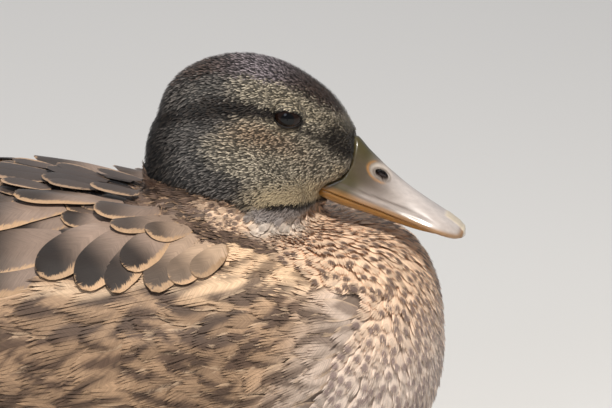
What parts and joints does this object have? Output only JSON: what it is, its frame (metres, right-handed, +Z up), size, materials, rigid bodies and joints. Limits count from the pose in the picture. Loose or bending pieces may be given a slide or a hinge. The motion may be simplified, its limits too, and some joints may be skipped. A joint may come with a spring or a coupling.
{
  "type": "mallard duck",
  "caption": "Life-size still model of a resting mallard duck in brown female-type plumage, head drawn in between the shoulders, belly on the ground.",
  "frame": {"origin": "centre of the bounding box in plan, on the ground plane under the belly", "axes": "+X from the tail toward the bill, +Y toward the bird's left side, +Z up"},
  "size_m": [0.4003, 0.1616, 0.1616],
  "materials": {
    "head_feathers": "fine matt feathers, grey-brown with a dark crown and eye stripe",
    "body_feathers": "matt feathers, warm buff with dark brown spots and U marks",
    "wing_feathers": "smooth feathers, grey-brown with buff fringes",
    "tail_feathers": "smooth feathers, buff and brown with pale edges",
    "bill": "smooth horn, silver-grey and olive with an orange-yellow edge",
    "eye": "wet, very dark brown",
    "foot": "scaly orange skin with dull webs"
  },
  "bodies": {
    "root": {"trunk": "body_feathers", "neck": "head_feathers", "head": "head_feathers", "bill_upper": "bill", "bill_lower": "bill", "tail": "tail_feathers", "eye_left": "eye", "eye_right": "eye", "wing_left": "wing_feathers", "wing_right": "wing_feathers", "wingtip_left": "wing_feathers", "wingtip_right": "wing_feathers", "leg_left": "foot", "leg_right": "foot", "foot_left": "foot", "foot_right": "foot"}
  },
  "joints": []
}
